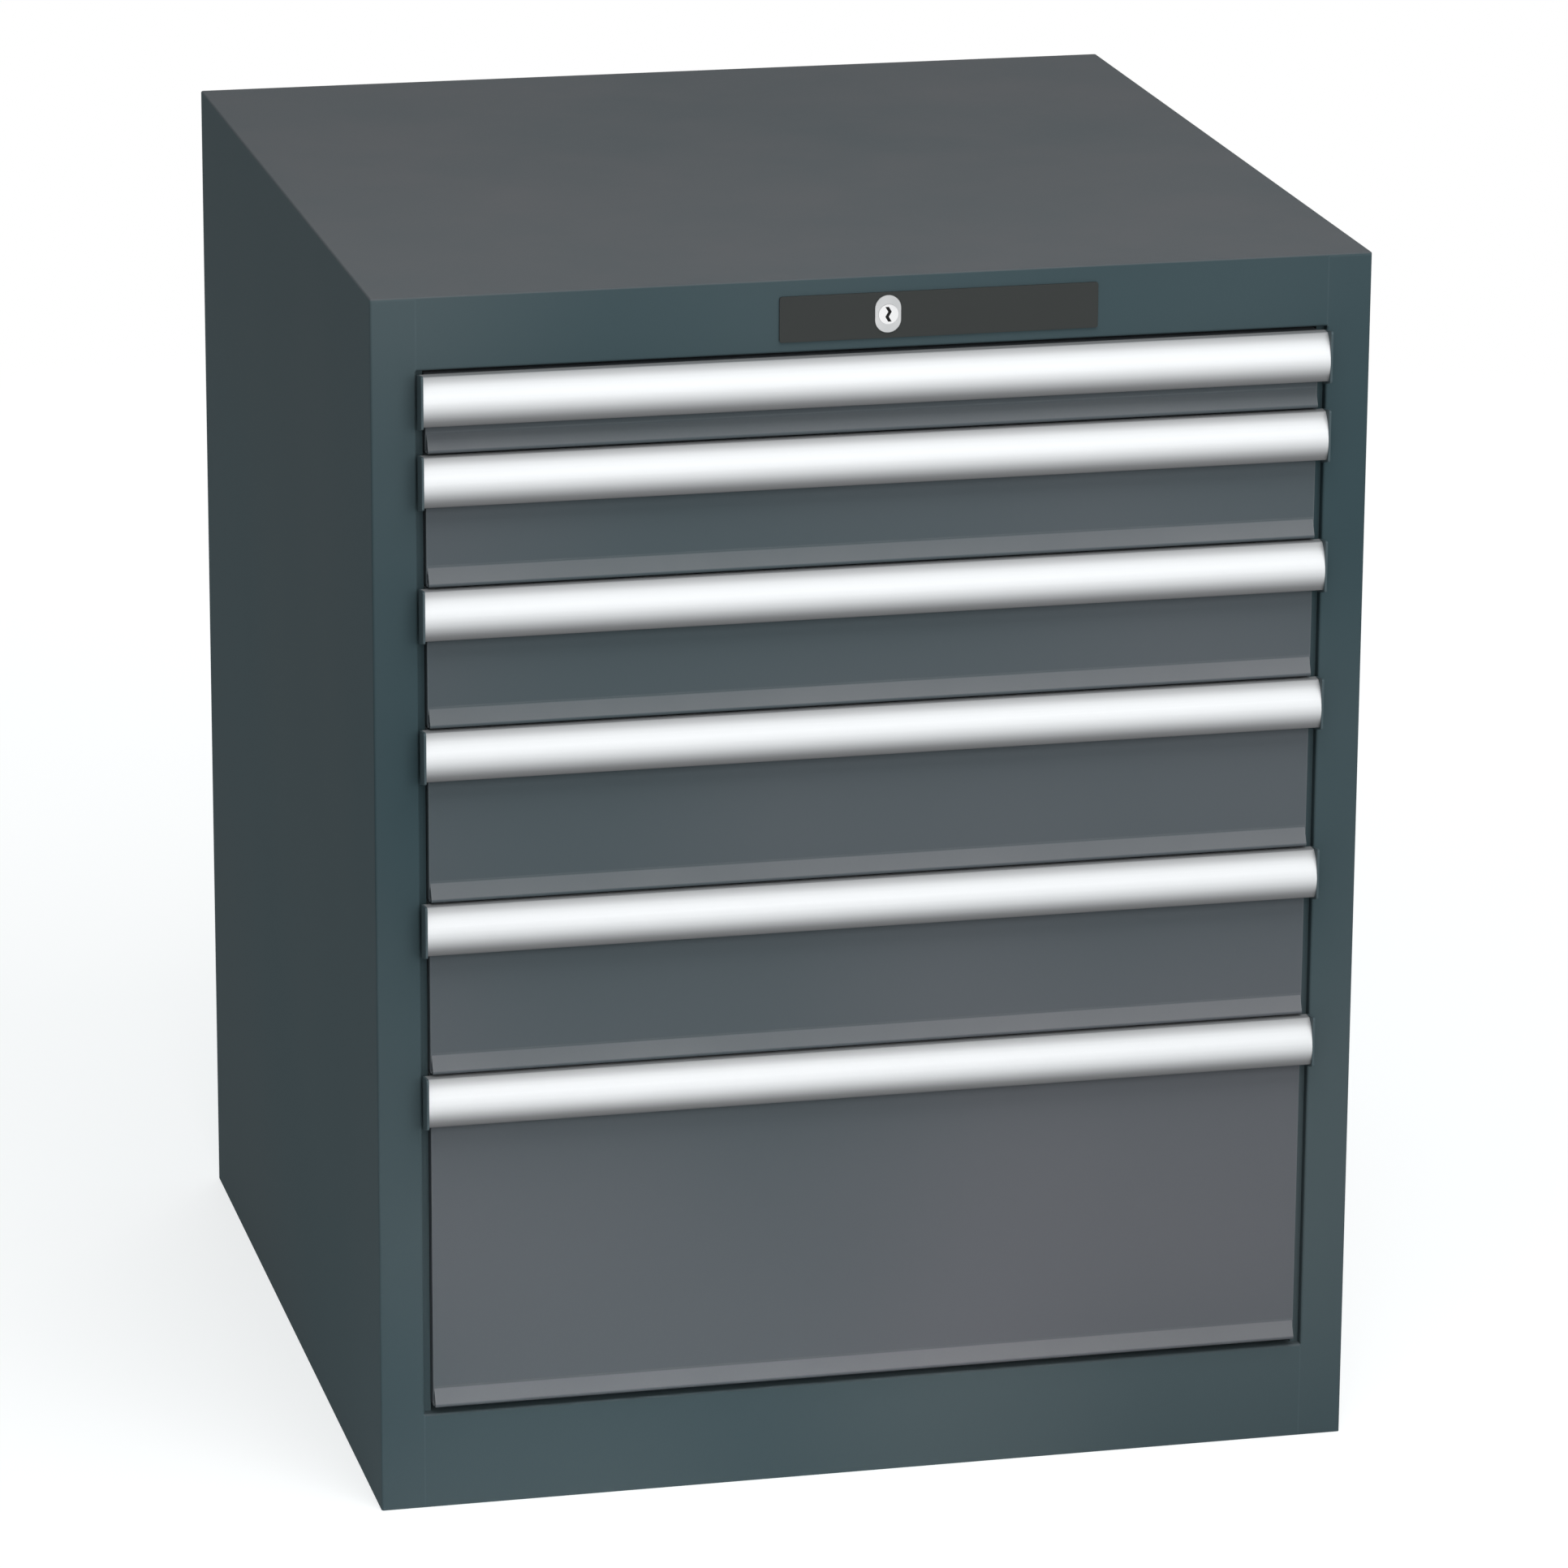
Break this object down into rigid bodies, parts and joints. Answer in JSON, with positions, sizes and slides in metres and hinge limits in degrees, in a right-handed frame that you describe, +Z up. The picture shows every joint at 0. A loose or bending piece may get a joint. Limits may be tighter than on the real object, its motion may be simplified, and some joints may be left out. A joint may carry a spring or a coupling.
{
  "type": "drawer cabinet",
  "caption": "Floor-standing workshop cabinet of folded sheet steel with full-width drawers of several heights, aluminium grip strips, roller runners and a central lock.",
  "frame": {"origin": "middle of the whole box, handles included, on the floor", "axes": "+Z up, -Y the front that the drawers open towards, +X to the right seen from the front"},
  "size_m": [0.564, 0.585, 0.7],
  "materials": {
    "housing_paint": "satin anthracite powder coat",
    "drawer_paint": "satin anthracite powder coat",
    "handle_aluminium": "natural anodised extrusion",
    "cap_plastic": "moulded, matt",
    "runner_steel": "zinc-plated sheet",
    "roller_steel": "turned steel",
    "lock_cover_plastic": "moulded, matt black",
    "lock_metal": "nickel plated"
  },
  "bodies": {
    "cabinet": {"left_side_panel": "housing_paint", "right_side_panel": "housing_paint", "top_panel": "housing_paint", "back_panel": "housing_paint", "base_pan": "housing_paint", "slotted_uprights": "housing_paint", "cabinet_rails": "runner_steel", "lock_plate": "lock_cover_plastic", "lock_barrel": "lock_metal"},
    "lock_plug": {"lock_plug": "lock_metal", "lock_cam": "runner_steel"},
    "lock_bar": {"lock_bar": "runner_steel"},
    "drawer_1": {"drawer_1_tray": "drawer_paint", "drawer_1_front": "drawer_paint", "drawer_1_handle": "handle_aluminium", "drawer_1_end_caps": "cap_plastic", "drawer_1_rails": "runner_steel"},
    "carriage_1": {"drawer_1_carriage": "runner_steel"},
    "front_rollers_1": {"drawer_1_front_rollers": "roller_steel"},
    "rear_rollers_1": {"drawer_1_rear_rollers": "roller_steel"},
    "drawer_2": {"drawer_2_tray": "drawer_paint", "drawer_2_front": "drawer_paint", "drawer_2_handle": "handle_aluminium", "drawer_2_end_caps": "cap_plastic", "drawer_2_rails": "runner_steel"},
    "carriage_2": {"drawer_2_carriage": "runner_steel"},
    "front_rollers_2": {"drawer_2_front_rollers": "roller_steel"},
    "rear_rollers_2": {"drawer_2_rear_rollers": "roller_steel"},
    "drawer_3": {"drawer_3_tray": "drawer_paint", "drawer_3_front": "drawer_paint", "drawer_3_handle": "handle_aluminium", "drawer_3_end_caps": "cap_plastic", "drawer_3_rails": "runner_steel"},
    "carriage_3": {"drawer_3_carriage": "runner_steel"},
    "front_rollers_3": {"drawer_3_front_rollers": "roller_steel"},
    "rear_rollers_3": {"drawer_3_rear_rollers": "roller_steel"},
    "drawer_4": {"drawer_4_tray": "drawer_paint", "drawer_4_front": "drawer_paint", "drawer_4_handle": "handle_aluminium", "drawer_4_end_caps": "cap_plastic", "drawer_4_rails": "runner_steel"},
    "carriage_4": {"drawer_4_carriage": "runner_steel"},
    "front_rollers_4": {"drawer_4_front_rollers": "roller_steel"},
    "rear_rollers_4": {"drawer_4_rear_rollers": "roller_steel"},
    "drawer_5": {"drawer_5_tray": "drawer_paint", "drawer_5_front": "drawer_paint", "drawer_5_handle": "handle_aluminium", "drawer_5_end_caps": "cap_plastic", "drawer_5_rails": "runner_steel"},
    "carriage_5": {"drawer_5_carriage": "runner_steel"},
    "front_rollers_5": {"drawer_5_front_rollers": "roller_steel"},
    "rear_rollers_5": {"drawer_5_rear_rollers": "roller_steel"},
    "drawer_6": {"drawer_6_tray": "drawer_paint", "drawer_6_front": "drawer_paint", "drawer_6_handle": "handle_aluminium", "drawer_6_end_caps": "cap_plastic", "drawer_6_rails": "runner_steel"},
    "carriage_6": {"drawer_6_carriage": "runner_steel"},
    "front_rollers_6": {"drawer_6_front_rollers": "roller_steel"},
    "rear_rollers_6": {"drawer_6_rear_rollers": "roller_steel"}
  },
  "joints": [
    {"name": "lock_bar_slide", "type": "slide", "parent": "cabinet", "child": "lock_bar", "axis": [-1, 0, 0], "range_m": [0, 0.01]},
    {"name": "lock_plug_turn", "type": "hinge", "parent": "cabinet", "child": "lock_plug", "pos_m": [0.0052, -0.2795, 0.6785], "axis": [0, 1, 0], "range_deg": [0, 90]},
    {"name": "drawer_1_slide", "type": "slide", "parent": "cabinet", "child": "drawer_1", "axis": [0, -1, 0], "range_m": [0, 0.445]},
    {"name": "carriage_1_slide", "type": "slide", "parent": "cabinet", "child": "carriage_1", "axis": [0, -1, 0], "range_m": [0, 0.2225]},
    {"name": "front_rollers_1_turn", "type": "hinge", "parent": "carriage_1", "child": "front_rollers_1", "pos_m": [0, -0.0155, 0.635], "axis": [1, 0, 0], "continuous": true},
    {"name": "rear_rollers_1_turn", "type": "hinge", "parent": "carriage_1", "child": "rear_rollers_1", "pos_m": [0, 0.0485, 0.635], "axis": [1, 0, 0], "continuous": true},
    {"name": "drawer_2_slide", "type": "slide", "parent": "cabinet", "child": "drawer_2", "axis": [0, -1, 0], "range_m": [0, 0.445]},
    {"name": "carriage_2_slide", "type": "slide", "parent": "cabinet", "child": "carriage_2", "axis": [0, -1, 0], "range_m": [0, 0.2225]},
    {"name": "front_rollers_2_turn", "type": "hinge", "parent": "carriage_2", "child": "front_rollers_2", "pos_m": [0, -0.0155, 0.56], "axis": [1, 0, 0], "continuous": true},
    {"name": "rear_rollers_2_turn", "type": "hinge", "parent": "carriage_2", "child": "rear_rollers_2", "pos_m": [0, 0.0485, 0.56], "axis": [1, 0, 0], "continuous": true},
    {"name": "drawer_3_slide", "type": "slide", "parent": "cabinet", "child": "drawer_3", "axis": [0, -1, 0], "range_m": [0, 0.445]},
    {"name": "carriage_3_slide", "type": "slide", "parent": "cabinet", "child": "carriage_3", "axis": [0, -1, 0], "range_m": [0, 0.2225]},
    {"name": "front_rollers_3_turn", "type": "hinge", "parent": "carriage_3", "child": "front_rollers_3", "pos_m": [0, -0.0155, 0.485], "axis": [1, 0, 0], "continuous": true},
    {"name": "rear_rollers_3_turn", "type": "hinge", "parent": "carriage_3", "child": "rear_rollers_3", "pos_m": [0, 0.0485, 0.485], "axis": [1, 0, 0], "continuous": true},
    {"name": "drawer_4_slide", "type": "slide", "parent": "cabinet", "child": "drawer_4", "axis": [0, -1, 0], "range_m": [0, 0.445]},
    {"name": "carriage_4_slide", "type": "slide", "parent": "cabinet", "child": "carriage_4", "axis": [0, -1, 0], "range_m": [0, 0.2225]},
    {"name": "front_rollers_4_turn", "type": "hinge", "parent": "carriage_4", "child": "front_rollers_4", "pos_m": [0, -0.0155, 0.385], "axis": [1, 0, 0], "continuous": true},
    {"name": "rear_rollers_4_turn", "type": "hinge", "parent": "carriage_4", "child": "rear_rollers_4", "pos_m": [0, 0.0485, 0.385], "axis": [1, 0, 0], "continuous": true},
    {"name": "drawer_5_slide", "type": "slide", "parent": "cabinet", "child": "drawer_5", "axis": [0, -1, 0], "range_m": [0, 0.445]},
    {"name": "carriage_5_slide", "type": "slide", "parent": "cabinet", "child": "carriage_5", "axis": [0, -1, 0], "range_m": [0, 0.2225]},
    {"name": "front_rollers_5_turn", "type": "hinge", "parent": "carriage_5", "child": "front_rollers_5", "pos_m": [0, -0.0155, 0.285], "axis": [1, 0, 0], "continuous": true},
    {"name": "rear_rollers_5_turn", "type": "hinge", "parent": "carriage_5", "child": "rear_rollers_5", "pos_m": [0, 0.0485, 0.285], "axis": [1, 0, 0], "continuous": true},
    {"name": "drawer_6_slide", "type": "slide", "parent": "cabinet", "child": "drawer_6", "axis": [0, -1, 0], "range_m": [0, 0.445]},
    {"name": "carriage_6_slide", "type": "slide", "parent": "cabinet", "child": "carriage_6", "axis": [0, -1, 0], "range_m": [0, 0.2225]},
    {"name": "front_rollers_6_turn", "type": "hinge", "parent": "carriage_6", "child": "front_rollers_6", "pos_m": [0, -0.0155, 0.085], "axis": [1, 0, 0], "continuous": true},
    {"name": "rear_rollers_6_turn", "type": "hinge", "parent": "carriage_6", "child": "rear_rollers_6", "pos_m": [0, 0.0485, 0.085], "axis": [1, 0, 0], "continuous": true}
  ],
  "couplings": [
    {"joint": "lock_plug_turn", "follows": "lock_bar_slide", "rad_per_m": 157.08},
    {"joint": "carriage_1_slide", "follows": "drawer_1_slide", "ratio": 0.5},
    {"joint": "front_rollers_1_turn", "follows": "drawer_1_slide", "rad_per_m": 45.455},
    {"joint": "rear_rollers_1_turn", "follows": "drawer_1_slide", "rad_per_m": 45.455},
    {"joint": "carriage_2_slide", "follows": "drawer_2_slide", "ratio": 0.5},
    {"joint": "front_rollers_2_turn", "follows": "drawer_2_slide", "rad_per_m": 45.455},
    {"joint": "rear_rollers_2_turn", "follows": "drawer_2_slide", "rad_per_m": 45.455},
    {"joint": "carriage_3_slide", "follows": "drawer_3_slide", "ratio": 0.5},
    {"joint": "front_rollers_3_turn", "follows": "drawer_3_slide", "rad_per_m": 45.455},
    {"joint": "rear_rollers_3_turn", "follows": "drawer_3_slide", "rad_per_m": 45.455},
    {"joint": "carriage_4_slide", "follows": "drawer_4_slide", "ratio": 0.5},
    {"joint": "front_rollers_4_turn", "follows": "drawer_4_slide", "rad_per_m": 45.455},
    {"joint": "rear_rollers_4_turn", "follows": "drawer_4_slide", "rad_per_m": 45.455},
    {"joint": "carriage_5_slide", "follows": "drawer_5_slide", "ratio": 0.5},
    {"joint": "front_rollers_5_turn", "follows": "drawer_5_slide", "rad_per_m": 45.455},
    {"joint": "rear_rollers_5_turn", "follows": "drawer_5_slide", "rad_per_m": 45.455},
    {"joint": "carriage_6_slide", "follows": "drawer_6_slide", "ratio": 0.5},
    {"joint": "front_rollers_6_turn", "follows": "drawer_6_slide", "rad_per_m": 45.455},
    {"joint": "rear_rollers_6_turn", "follows": "drawer_6_slide", "rad_per_m": 45.455}
  ]
}
